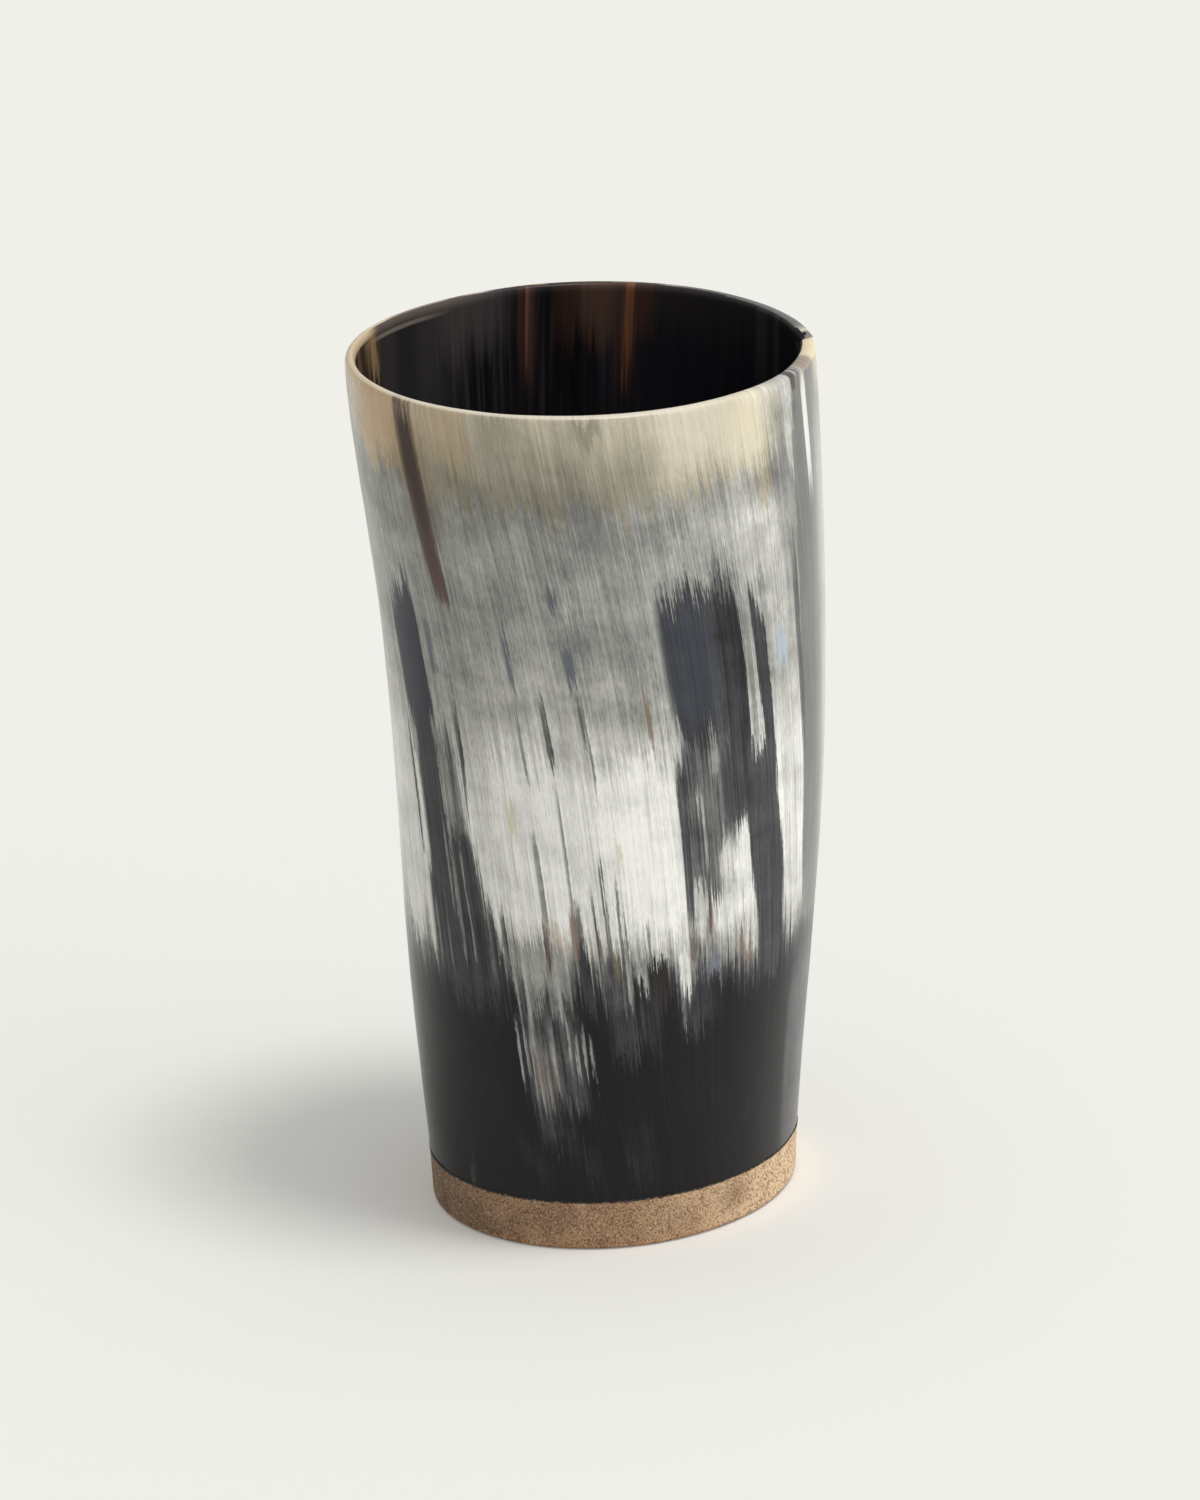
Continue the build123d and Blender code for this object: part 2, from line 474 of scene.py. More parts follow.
# %% Tones of the front and its ragged foot
tone_patches += [
    # Thin streaks of the front
    Patch(-105.5, 96, 0.9, 8, 0.34, 0.8),
    Patch(-101.5, 71, 0.6, 17, 0.56, 0.9),
    Patch(-108.6, 67, 0.9, 10, 0.56, 0.9),
    Patch(-112, 92, 0.7, 7, 0.50, 0.9),
    Patch(-96.5, 98, 1.0, 5, 0.45, 0.9),
    Patch(-94.5, 92, 0.6, 11, 0.50, 0.9),
    Patch(-91.5, 62, 0.5, 12, 0.36, 0.9),
    Patch(-113.8, 107, 0.9, 8, 0.46, 0.9),
    Patch(-101.5, 119, 1.2, 3.5, 0.46, 0.9),
    Patch(-98.5, 107.5, 2.0, 4, 0.47, 0.9),
    Patch(-137, 107, 1.4, 5.5, 0.48, 0.9),
    Patch(-96, 116, 4.5, 2, 0.66, 0.9),
    # The ragged foot of the pale part, with dark hairs rising into it
    Patch(-98, 57, 0.8, 7, 0.40, 1.0),
    Patch(-93.6, 57, 0.5, 11, 0.38, 1.0),
    Patch(-90, 56, 0.6, 8, 0.44, 1.0),
    Patch(-87.3, 59, 0.5, 11, 0.42, 1.0),
    Patch(-85.6, 57, 0.4, 8, 0.46, 1.0),
    Patch(-79.3, 58, 0.5, 5, 0.46, 0.9),
    Patch(-118.6, 55, 0.7, 6, 0.36, 0.9),
    Patch(-122, 57, 0.8, 9, 0.32, 0.9),
    Patch(-108, 50, 9.5, 7, 0.56, 1.0),
    Patch(-116, 47, 0.8, 7, 0.60, 1.0),
    Patch(-112.5, 46, 0.6, 7, 0.60, 1.0),
    Patch(-104, 46, 1.0, 7, 0.62, 1.0),
    Patch(-120, 50, 1.9, 7, 0.24, 0.8),
    Patch(-96.5, 50, 2.2, 7, 0.25, 0.8),
    Patch(-88, 50, 4.5, 7, 0.33, 0.9),
    Patch(-84.8, 49, 0.8, 7, 0.60, 0.9),
    Patch(-81, 50, 2.2, 2.6, 0.64, 0.9),
    Patch(-76.5, 51, 3.6, 5.5, 0.22, 0.6),
    Patch(-67.4, 49, 2.0, 8, 0.80, 0.7),
    Patch(-84, 41, 11, 7, 0.25, 1.0),
    Patch(-67, 42, 0.7, 4.5, 0.55, 0.9),
    Patch(-58, 49.5, 3.0, 1.6, 0.42, 0.9),
    Patch(-62, 43, 9, 5, 0.23, 1.0),
    Patch(-131, 47, 8, 5, 0.27, 1.0),
]
print("tone patches so far:", len(tone_patches))

# %% Tones in the black foot
tone_patches += [
    # The pale tongue in the black foot
    Patch(-107, 25, 6.5, 9, 0.25, 1.0),
    Patch(-106.5, 35, 11, 12, 0.39, 0.9),
    Patch(-116, 36, 0.5, 7, 0.60, 1.0),
    Patch(-114.2, 37, 0.5, 7, 0.56, 1.0),
    Patch(-112.3, 35, 0.6, 8, 0.58, 1.0),
    Patch(-110.2, 32, 0.6, 9, 0.56, 1.0),
    Patch(-108, 33, 0.5, 9, 0.54, 1.0),
    Patch(-105.8, 34, 0.6, 8, 0.58, 1.0),
    Patch(-101.6, 37, 0.6, 6, 0.62, 1.0),
    Patch(-99.4, 36, 0.7, 6, 0.60, 1.0),
    Patch(-97, 35, 0.5, 6, 0.54, 1.0),
    Patch(-94.8, 33, 0.5, 5, 0.52, 1.0),
    Patch(-103.6, 34, 0.6, 8, 0.24, 1.0),
    # Smudges in the black foot
    Patch(-78, 17, 4.0, 8, 0.20, 1.0),
    Patch(-84, 18, 3.0, 7, 0.205, 1.0),
    Patch(-96, 15, 3.5, 5, 0.20, 1.0),
    Patch(-102, 22, 3.0, 6, 0.205, 1.0),
    Patch(-135, 12.5, 2.0, 1.2, 0.28, 1.0),
    Patch(-114, 17, 2.6, 8, 0.19, 1.0, 25),
]
print("tone patches so far:", len(tone_patches))

# %% Tones of the far side
tone_patches += [
    # The far side, with broad dark bands of its own
    Patch(23, 112, 8, 40, 0.25, 0.8),
    Patch(31, 98, 5, 34, 0.27, 0.9),
    Patch(16, 128, 4, 24, 0.32, 0.9),
    Patch(58, 86, 12, 24, 0.78, 0.7),
    Patch(48, 92, 1.0, 22, 0.40, 0.9),
    Patch(66, 84, 0.8, 18, 0.42, 0.9),
    Patch(54, 70, 0.7, 14, 0.45, 0.9),
    Patch(80, 106, 8, 46, 0.23, 0.8),
    Patch(91, 120, 6, 32, 0.26, 0.9),
    Patch(97, 92, 2.5, 30, 0.32, 0.9),
    Patch(118, 82, 11, 22, 0.76, 0.7),
    Patch(110, 90, 0.9, 20, 0.42, 0.9),
    Patch(124, 84, 0.8, 18, 0.45, 0.9),
    Patch(142, 102, 7, 40, 0.26, 0.8),
    Patch(151, 92, 4, 30, 0.30, 0.9),
    Patch(135, 122, 2.5, 24, 0.36, 0.9),
    Patch(172, 84, 9, 24, 0.74, 0.7),
    Patch(165, 88, 0.9, 22, 0.40, 0.9),
    Patch(177, 78, 0.7, 16, 0.45, 0.9),
    Patch(40, 128, 6, 20, 0.46, 0.8),
    Patch(62, 53, 13, 10, 0.24, 1.0),
    Patch(84, 46, 3.5, 12, 0.40, 1.0),
    Patch(103, 45, 1.5, 12, 0.36, 1.0),
    Patch(126, 50, 17, 9, 0.27, 1.0),
    Patch(133, 56, 4, 12, 0.25, 1.0),
    Patch(158, 47, 4, 10, 0.38, 1.0),
    Patch(30, 45, 3, 10, 0.38, 1.0),
]
print("tone patches in all:", len(tone_patches))

# %% Where the streaks are weaker
# On the grey side and at the mouth, the tone of a patch says how much of the streaks is left.
calm_patches = [
    Patch(-6, 101, 18, 56, 0.3, 0.3, -3.0),
    Patch(-98, 149, 85, 16, 0.4, 0.7),
]
print("calm patches:", len(calm_patches))

# %% The cream band
# Near the mouth the horn is stained, so its own tones show through in cream and, at the left, amber.
band_patches = [
    Patch(-40, 146, 13, 11, 0.8, 1.0),
    Patch(-101, 146, 62, 11.5, 1.0, 0.16),
    Patch(-99.5, 136, 3.4, 6, 1.0, 0.3),
    Patch(-83, 137, 2.4, 5, 1.0, 0.3),
    Patch(-128, 138, 12, 5.5, 1.0, 0.3),
    Patch(-39, 137, 3.6, 8, 1.0, 0.3),
    Patch(-176, 149, 26, 10, 0.8, 0.9),
    Patch(95, 151, 70, 9, 0.6, 1.0),
]
cream_stain, amber_stain = "fff6e2", "ffe4c2"
amber_patch = Patch(-152, 147, 26, 14, 1.0, 0.9)
print("patches of the band:", len(band_patches))

# %% Patches of colour
ColourPatch = namedtuple(
    "ColourPatch", "angle height half_angle half_height colour strength edge lean", defaults=(0.8, 0.0)
)
colour_patches = [
    # The yellowest part of the band
    ColourPatch(-44, 146, 8, 11, "ebdfc0", 0.35, 1.0),
    ColourPatch(-124, 147, 8, 9, "c4a377", 0.4, 1.0),
    ColourPatch(-147, 147, 9, 10, "c9a97c", 0.4, 1.0),
    # The brown streak down from the lip
    ColourPatch(-134.6, 139, 5.6, 14, "8f7050", 0.4, 1.0),
    ColourPatch(-135.3, 141, 3.4, 11, "33231d", 0.95, 0.9),
    ColourPatch(-133.2, 129, 3.3, 12, "3d2b25", 0.94, 0.9),
    ColourPatch(-131.7, 121, 2.6, 7.5, "57403a", 0.9, 0.6),
    # Cream under the lip at the right
    ColourPatch(3, 150, 12, 9, "e6d5b0", 0.75, 1.0),
    # Slate in the dark patches and in small streaks
    ColourPatch(-66, 106, 8.6, 13, "363d47", 0.6, 0.5),
    ColourPatch(-145, 104, 6.5, 16, "262c3a", 0.8),
    ColourPatch(-113.8, 107, 0.9, 7, "596170", 0.6),
    ColourPatch(-98.5, 107.5, 2.0, 4, "59616e", 0.6),
    ColourPatch(-101.5, 119, 1.2, 3.5, "565c69", 0.6),
    ColourPatch(-137, 107, 1.4, 5, "5c6370", 0.6),
    # Brown where the pale horn meets the black foot
    ColourPatch(-107.2, 56, 1.3, 5, "4a3228", 0.85),
    ColourPatch(-99.5, 58, 1.2, 6, "6b503f", 0.75),
    ColourPatch(-104, 58, 3.0, 3.5, "b3a18c", 0.5),
    ColourPatch(-93, 57, 0.7, 3, "4a3525", 0.75),
    ColourPatch(-88.5, 54, 1.5, 4, "6b6350", 0.6),
    ColourPatch(-75.5, 50, 3.5, 5, "2e2320", 0.6),
    ColourPatch(-65.5, 56, 1.6, 4, "4d3b30", 0.8),
    ColourPatch(-60, 58, 2.0, 3.5, "6a5444", 0.65),
    ColourPatch(-46, 54, 4.0, 2.6, "7a5c4c", 0.65),
    ColourPatch(-79, 98, 0.9, 6.5, "7d6453", 0.75),
    ColourPatch(-109, 33, 3.5, 6, "7d6a5c", 0.35, 1.0),
    # Beige marks and bluish flecks
    ColourPatch(-116, 78.5, 1.5, 3, "cdc7a4", 0.75),
    ColourPatch(-115.5, 71, 0.6, 5, "c9c2a4", 0.6),
    ColourPatch(-88, 75, 1.2, 2.2, "d6cfae", 0.75),
    ColourPatch(-115.3, 58, 1.6, 1.8, "c4bca4", 0.5),
    ColourPatch(-33.3, 102.5, 2.8, 3.2, "a9bccb", 0.85),
    ColourPatch(-116, 36, 0.5, 6, "a3acb5", 0.5),
    ColourPatch(-57.5, 49.5, 2.6, 1.5, "7d8796", 0.5),
]
print("colour patches:", len(colour_patches))

# %% Colours of the lip
# The polished lip has its own colours and a painted highlight along its front, and they end at its
# edges.
lip_patches = [
    ColourPatch(178, 150, 30, 1.4, "d6c4a6", 0.9, 0.5),
    ColourPatch(135, 150, 17, 1.3, "8d7b69", 0.85, 0.6),
    ColourPatch(150, 150, 5, 1.2, "a58f74", 0.7, 1.0),
    ColourPatch(127, 150, 4, 1.2, "5f4c3d", 0.8, 1.0),
    ColourPatch(92, 150, 26, 1.1, "3a2b23", 0.9, 0.4),
    ColourPatch(101, 150, 2.5, 1.1, "a3866a", 0.7),
    ColourPatch(79, 150, 4.0, 1.1, "8d7258", 0.7),
    ColourPatch(42, 150, 26, 1.3, "64625f", 0.9, 0.4),
    ColourPatch(4, 150, 14, 1.3, "ecdcba", 0.9, 0.6),
    ColourPatch(-12, 150, 6, 1.4, "a8998a", 0.8, 0.6),
    ColourPatch(-23, 149, 1.8, 2.4, "3a2c26", 0.85),
    ColourPatch(13, 149.5, 2.6, 1.4, "807c76", 0.9, 0.6),
    # A painted highlight along the front of the lip
    ColourPatch(-100, 150, 70, 0.5, "ebe2cf", 0.7, 0.8),
]
print("lip patches:", len(lip_patches))

# %% Tools that lay patches
patch_depth = 22 * mm


def lay_patch(tree, place, patch, below, above):
    """Nodes that give one value outside a patch and another inside it, with the patch's soft edge."""
    middle = straightened(patch.angle, patch.height)
    turn = math.atan2(middle[1], middle[0])
    half_width = fibre_radius * math.radians(patch.half_angle)
    inside = add_node(
        tree, "Mapping",
        {
            "Vector": place, "Location": tuple(middle),
            "Rotation": (math.radians(patch.lean), 0.0, turn),
            "Scale": (patch_depth, half_width, patch.half_height * mm),
        },
        vector_type="TEXTURE",
    ).outputs[0]
    squared = add_node(tree, "VectorMath", {0: inside, 1: inside}, operation="MULTIPLY").outputs[0]
    reach = add_node(tree, "VectorMath", {0: squared}, operation="LENGTH").outputs["Value"]
    return add_node(
        tree, "MapRange",
        {"Value": reach, "From Min": 1.0, "From Max": 1 - patch.edge, "To Min": below, "To Max": above},
        interpolation_type="SMOOTHSTEP",
    ).outputs[0]


def lay_colour(tree, place, patch, below):
    """Nodes that lay a patch of colour over what is below it."""
    share = lay_patch(tree, place, patch, 0.0, patch.strength)
    mix = add_node(tree, "MixRGB", {"Fac": share, "Color1": below, "Color2": linear(patch.colour)})
    return mix.outputs[0]


# %% Tools that fray patches
def frayed(tree, noise, aside, along, place):
    """Nodes that pull a place about by coloured noise, along the fibres and a little aside."""
    centred = add_node(
        tree, "VectorMath", {0: noise.outputs["Color"], 1: (0.5, 0.5, 0.5)}, operation="SUBTRACT"
    )
    return add_node(
        tree, "VectorMath", {0: centred.outputs[0], 1: (aside, aside, along), 2: place},
        operation="MULTIPLY_ADD",
    ).outputs[0]


def streak_noises(tree, place):
    """The noise of each kind of streak, and the place that patches read, pulled along the fibres."""
    streaks = {}
    ragged_place = place
    for name, streak in streak_kinds.items():
        across, along = 1 / (streak.width * mm), 1 / (streak.length * mm)
        stretched = add_node(tree, "Mapping", {"Vector": place, "Scale": (across, across, along)})
        streaks[name] = add_node(
            tree, "TexNoise",
            {"Vector": stretched.outputs[0], "Scale": 1.0, "Detail": 3.0, "Roughness": 0.55},
        )
        aside = streak.pull * sideways_pull * mm
        ragged_place = frayed(tree, streaks[name], aside, streak.pull * mm, ragged_place)
    return streaks, ragged_place


# %% Build the tone of the horn
def grey_stops(levels):
    """Ramp stops that give a plain value at each place."""
    return [(at, (level, level, level, level)) for at, level in levels]


def ground_tone(tree, place):
    """Nodes that give the ground its tone at each height."""
    height = add_node(tree, "SeparateXYZ", {0: place}).outputs["Z"]
    ground_top = ground_tones[-1][0]
    share = add_node(tree, "MapRange", {"Value": height, "From Max": ground_top * mm}).outputs[0]
    stops = grey_stops([(at / ground_top, level) for at, level in ground_tones])
    return add_node(tree, "ValToRGB", {0: share}, stops=stops).outputs["Alpha"]


def horn_tone(tree, place, streaks, patches, calm_ones):
    """The tone of the horn: the ground, the patches on it, and the streaks over both."""
    tone = ground_tone(tree, place)
    for patch in patches:
        tone = lay_patch(tree, place, patch, tone, patch.tone)
    calm = 1.0
    for patch in calm_ones:
        calm = lay_patch(tree, place, patch, calm, patch.tone)
    gains = {}
    for kind, levels in gain_stops.items():
        gain = add_node(tree, "ValToRGB", {0: tone}, stops=grey_stops(levels)).outputs["Alpha"]
        gains[kind] = add_node(tree, "Math", {0: gain, 1: calm}, operation="MULTIPLY").outputs[0]
    for name, streak in streak_kinds.items():
        swing = add_node(
            tree, "MapRange",
            {
                "Value": streaks[name].outputs["Fac"], "From Min": 0.25, "From Max": 0.75,
                "To Min": -streak.strength, "To Max": streak.strength,
            },
        ).outputs[0]
        gain = gains["long" if streak.length > long_streak else "short"]
        tone = add_node(tree, "Math", {0: swing, 1: gain, 2: tone}, operation="MULTIPLY_ADD").outputs[0]
    return tone


# %% Build the colour and the polish of the horn
def stain_mouth(tree, place, ragged_place, bands, below):
    """Nodes that stain the horn near its mouth, cream and, at the left, amber."""
    band_share = 0.0
    for patch in bands:
        band_share = lay_patch(tree, ragged_place, patch, band_share, patch.tone)
    amber_share = lay_patch(tree, place, amber_patch, 0.0, 1.0)
    stain = add_node(
        tree, "MixRGB",
        {"Fac": amber_share, "Color1": linear(cream_stain), "Color2": linear(amber_stain)},
    ).outputs[0]
    return add_node(
        tree, "MixRGB", {"Fac": band_share, "Color1": below, "Color2": stain}, blend_type="MULTIPLY"
    ).outputs[0]


def polish_horn(tree, shader, fine_streaks):
    """Give the horn a satin gleam that changes a little from fibre to fibre, over a faint relief."""
    polish = add_node(
        tree, "MapRange",
        {"Value": fine_streaks, "From Min": 0.3, "From Max": 0.7, "To Min": 0.2, "To Max": 0.3},
    )
    tree.links.new(polish.outputs[0], shader.inputs["Roughness"])
    shader.inputs["IOR"].default_value = 1.54
    shader.inputs["Specular IOR Level"].default_value = 0.22
    relief = add_node(tree, "Bump", {"Height": fine_streaks, "Strength": 0.12, "Distance": 0.05 * mm})
    tree.links.new(relief.outputs[0], shader.inputs["Normal"])


# %% Make the horn finishes
# One finish would need more patches at once than the renderer holds, so the straightened horn is
# cut into sectors, and each sector's finish has only the patches that reach into it.
horn_sectors = {
    "left": (-185, -117), "front": (-117, -100), "middle": (-100, -82), "right": (-82, -15),
    "far": (-15, 175),
}
sector_margin = 3.0
degree_width = math.radians(1) * fibre_radius / mm


def reaching(patches, first_turn, last_turn):
    """The patches that reach into a sector of the straightened horn."""
    chosen = []
    for patch in patches:
        apart = turn_of(patch.angle, patch.height) - (first_turn + last_turn) / 2
        apart = abs((apart + 180) % 360 - 180)
        leaning = math.tan(math.radians(abs(patch.lean))) * patch.half_height / degree_width
        if apart < (last_turn - first_turn) / 2 + patch.half_angle + leaning + sector_margin:
            chosen.append(patch)
    return chosen


def horn_finish(name, *turns):
    """The polished horn of one sector, with the patches that reach into it."""
    material, tree, shader = new_finish("polished_horn_" + name)
    fibre_place = add_node(tree, "Attribute", attribute_name="fibre_place").outputs["Vector"]
    streaks, ragged_place = streak_noises(tree, fibre_place)
    tones, colours = reaching(tone_patches, *turns), reaching(colour_patches, *turns)
    tone = horn_tone(tree, ragged_place, streaks, tones, reaching(calm_patches, *turns))
    coloured = add_node(
        tree, "ValToRGB", {0: tone}, stops=[(at, linear(colour)) for at, colour in horn_colours]
    ).outputs[0]
    coloured = stain_mouth(tree, fibre_place, ragged_place, reaching(band_patches, *turns), coloured)
    for patch in colours:
        coloured = lay_colour(tree, ragged_place, patch, coloured)
    for patch in reaching(lip_patches, *turns):
        coloured = lay_colour(tree, fibre_place, patch, coloured)
    tree.links.new(coloured, shader.inputs["Base Color"])
    polish_horn(tree, shader, streaks["fine"].outputs["Fac"])
    print(name, "horn:", len(tones), "tone patches and", len(colours), "colour patches")
    return material


horn_finishes = {name: horn_finish(name, *turns) for name, turns in horn_sectors.items()}

# %% [markdown]
# ## The bore
# Inside, the horn is only scraped and sealed. It reads almost black, with a satin sheen, and where
# the wall is thin and clear the light behind it comes through as brown streaks that fade downwards.

# %% Scrape marks of the bore
scrape_width, scrape_length = 0.7 * mm, 40 * mm
fray_aside, fray_along = 3.5 * mm, 16 * mm
scraped_bore, tree, shader = new_finish("scraped_bore")
fibre_place = add_node(tree, "Attribute", attribute_name="fibre_place").outputs["Vector"]
stretched = add_node(
    tree, "Mapping",
    {"Vector": fibre_place, "Scale": (1 / scrape_width, 1 / scrape_width, 1 / scrape_length)},
)
scrape = add_node(tree, "TexNoise", {"Vector": stretched.outputs[0], "Scale": 1.0, "Detail": 4.0})
coloured = add_node(
    tree, "ValToRGB", {0: scrape.outputs["Fac"]},
    stops=[(0.35, linear("0c0a0d")), (0.58, linear("161316")), (0.75, linear("2b282b"))],
).outputs[0]
frayed_place = frayed(tree, scrape, fray_aside, fray_along, fibre_place)
print("scrape marks are", round(scrape_width / mm, 1), "mm wide")

# %% Colours of the bore
bore_patches = [
    # The scraped left side, greyer than the rest, partly from scraping and partly a painted sheen
    ColourPatch(148, 138, 24, 24, "262425", 0.8, 1.0),
    ColourPatch(122, 151, 15, 14, "575250", 0.4, 1.0),
    ColourPatch(139, 143, 6.0, 14, "454040", 0.22, 1.0),
    ColourPatch(127, 145, 6.0, 13, "3d3838", 0.22, 1.0),
    ColourPatch(158, 143, 6.0, 13, "463f3c", 0.3, 1.0),
    # A painted sheen over the right side, strongest under the lip
    ColourPatch(48, 140, 42, 42, "25222a", 0.75, 1.0),
    ColourPatch(58, 152, 42, 13, "393432", 0.5, 1.0),
    # Brown streaks of the thin far side, each a soft glow with a bright core
    ColourPatch(105, 147, 3.4, 17, "4a2f25", 0.55, 1.0),
    ColourPatch(105, 147, 1.3, 15, "7d5442", 0.5, 1.0),
    ColourPatch(94, 150, 5.0, 14, "38231c", 0.6, 1.0),
    ColourPatch(82, 151, 14.0, 15, "46322a", 0.6, 1.0),
    ColourPatch(85, 151, 7.0, 15, "5f4437", 0.5, 1.0),
    ColourPatch(77.5, 148, 3.0, 19, "5f3b28", 0.55, 1.0),
    ColourPatch(77.2, 149, 1.0, 20, "94603f", 0.55, 1.0),
    ColourPatch(72.5, 151, 2.4, 13, "553525", 0.45, 1.0),
    # Grey scrapes of the right side
    ColourPatch(37, 146, 3.0, 15, "4e4b4b", 0.5, 1.0),
    ColourPatch(30, 145, 2.0, 14, "4c4a4a", 0.5, 1.0),
    # The bevel scraped under the lip at the back left, with a painted highlight along its edge
    ColourPatch(148, 149.6, 34, 1.7, "675c52", 0.55, 1.0),
    ColourPatch(154, 147.9, 26, 0.5, "a3978a", 0.4, 1.0),
    # Tan at the left lip, parted by a dark streak
    ColourPatch(171, 150, 12, 11, "745d42", 0.7, 1.0),
    ColourPatch(165, 148, 2.6, 8, "a0875f", 0.5, 1.0, -14),
    ColourPatch(173, 146, 3.0, 12, "2e221b", 0.9, 1.0, -14),
    ColourPatch(182, 150, 22, 1.5, "cdb894", 0.85, 0.7),
]
print("bore patches:", len(bore_patches))

# %% Lay the colours and the sheen of the bore
# A patch shorter than this is a clean edge and isn't frayed.
frayed_height = 4
for patch in bore_patches:
    place = frayed_place if patch.half_height > frayed_height else fibre_place
    coloured = lay_colour(tree, place, patch, coloured)
tree.links.new(coloured, shader.inputs["Base Color"])
sheen_spread = add_node(
    tree, "MapRange",
    {"Value": scrape.outputs["Fac"], "From Min": 0.3, "From Max": 0.7, "To Min": 0.3, "To Max": 0.46},
)
tree.links.new(sheen_spread.outputs[0], shader.inputs["Roughness"])
shader.inputs["Specular IOR Level"].default_value = 0.3
print("bore has", len(tree.nodes), "nodes")

# %% Dress the horn
# A face that looks inwards belongs to the bore. Any other takes the finish of its sector.
inwards_limit = -0.35
horn_wall.data.materials.clear()
for material in (*horn_finishes.values(), scraped_bore):
    horn_wall.data.materials.append(material)
first_turn = min(turns[0] for turns in horn_sectors.values())
for face in horn_wall.data.polygons:
    middle = float(middle_at(face.center.z))
    outwards = Vector((face.center.x - middle, face.center.y, 0.0)).normalized()
    turn = turn_of(math.degrees(math.atan2(outwards.y, outwards.x)), face.center.z / mm)
    turn = (turn - first_turn) % 360 + first_turn
    if face.normal.dot(outwards) < inwards_limit:
        face.material_index = len(horn_finishes)
    else:
        face.material_index = sum(turn >= turns[1] for turns in horn_sectors.values())
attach(horn_wall, "root")
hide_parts("horn_body")
face_finishes = [face.material_index for face in horn_wall.data.polygons]
print("faces of each finish:", [face_finishes.count(index) for index in range(len(horn_finishes) + 1)])

# %% [markdown]
# ## The wooden base
# The base is a disc of hardwood with a spigot turned on it, so it is a ring stack too, with a cap at
# each end. Rings close to an edge keep that edge tight when the cage is smoothed.

# %% Stack the rings of the base
edge_step = 0.04 * mm
worn_edge_steps = (edge_step, 0.3 * mm, 0.95 * mm)
side_low, side_high, side_rings = 2.4 * mm, 1.2 * mm, 3
shoulder_step, spigot_step = 0.35 * mm, 0.5 * mm
base_heights = [
    *[base_low.z + step for step in worn_edge_steps],
    *np.linspace(base_low.z + side_low, seam_low.z - side_high, side_rings),
    seam_low.z - shoulder_step, seam_low.z - edge_step,
    seam_low.z + edge_step, seam_low.z + spigot_step,
    (seam_low.z + base_high.z) / 2,
    base_high.z - spigot_step, base_high.z - edge_step,
]
base_disc = ring_stack("base_disc", outside_start, base_heights)
throw_onto(base_disc, "wood_base")
print("rings of the base:", len(base_heights))

# %% Cap the base and smooth it
# Each ring of a cap is a share of the one before. A crease keeps the upper edge of the disc sharp.
cap_shares = (0.97, 0.55, 0.1)
for end in (base_heights[0], base_heights[-1]):
    select_vertices(base_disc, lambda place: abs(place.z - end) < edge_step / 2)
    for share in cap_shares:
        bpy.ops.mesh.extrude_region_move()
        bpy.ops.transform.resize(value=(share, share, 1.0))
    bpy.ops.mesh.merge(type="CENTER")
    bpy.ops.object.mode_set(mode="OBJECT")
select_vertices(base_disc, lambda place: abs(place.z - seam_low.z + edge_step) < edge_step / 2)
bpy.ops.transform.edge_crease(value=1.0)
bpy.ops.mesh.select_all(action="SELECT")
bpy.ops.mesh.normals_make_consistent(inside=False)
bpy.ops.object.mode_set(mode="OBJECT")
apply_modifier(base_disc, "SUBSURF", levels=2, render_levels=2)
apply_modifier(
    base_disc, "DISPLACE", texture=scraped_unevenness, texture_coords="LOCAL",
    strength=base_unevenness, mid_level=0.5,
)
bpy.ops.object.shade_smooth()
print("base faces:", len(base_disc.data.polygons))

# %% [markdown]
# ## Sanded hardwood
# The wood is a pale brown hardwood, such as mango, sanded and left without varnish, so it is matt.
# Its fibres run from the front down to the back: the front shows end grain, dotted with pores, and
# the sides show the pores as short slanted strokes. Zones and spots colour the wood by their place,
# and the grain is laid over them.

# %% Grain of the wood
# Widths and lengths are in millimetres. Real pores are finer, and are drawn as coarse as they need
# to be to show.
Grain = namedtuple("Grain", "width length detail distortion")
grain_kinds = {
    "pores": Grain(0.24, 1.8, 0.8, 0.0),
    "flecks": Grain(0.3, 0.9, 1.0, 0.0),
    "lines": Grain(1.3, 14.0, 3.0, 0.4),
    "figure": Grain(6.0, 24.0, 3.0, 0.8),
}
fibre_fall, fibre_turn = math.radians(42), math.radians(8)
sanded_wood, tree, shader = new_finish("sanded_wood")
object_place = add_node(tree, "TexCoord").outputs["Object"]
along_fibres = add_node(
    tree, "Mapping", {"Vector": object_place, "Rotation": (fibre_fall, 0.0, fibre_turn)}
).outputs[0]
grains = {}
for name, grain in grain_kinds.items():
    across, along = 1 / (grain.width * mm), 1 / (grain.length * mm)
    grain_place = add_node(tree, "Mapping", {"Vector": along_fibres, "Scale": (across, along, across)})
    grains[name] = add_node(
        tree, "TexNoise",
        {
            "Vector": grain_place.outputs[0], "Scale": 1.0, "Detail": grain.detail,
            "Distortion": grain.distortion,
        },
    ).outputs["Fac"]
wood_colour = add_node(
    tree, "ValToRGB", {0: grains["figure"]},
    stops=[(0.32, linear("8c6e55")), (0.5, linear("9e7d60")), (0.68, linear("ae8d69"))],
).outputs[0]
print("kinds of grain:", ", ".join(grains))

# %% Zones of the wood
# Along its axis, a zone grows from its start to where it is full, in millimetres.
Zone = namedtuple("Zone", "axis start full strength colour")
wood_zones = [
    # Painted shade darkens the left of the base, and painted light and sheen brighten the right
    Zone("X", -6, -34, 0.45, "6b5747"),
    Zone("X", 2, 30, 0.9, "e6caa5"),
    # A lower edge that is worn, then painted contact shade at the very bottom
    Zone("Z", 1.1, 0.6, 0.5, "c08a58"),
    Zone("Z", 0.5, 0.25, 0.8, "3a281c"),
]


def lay_share(tree, share, below, colour, blend="MIX"):
    """Nodes that lay a share of a colour over what is below it."""
    mix = add_node(
        tree, "MixRGB", {"Fac": share, "Color1": below, "Color2": linear(colour)}, blend_type=blend
    )
    return mix.outputs[0]


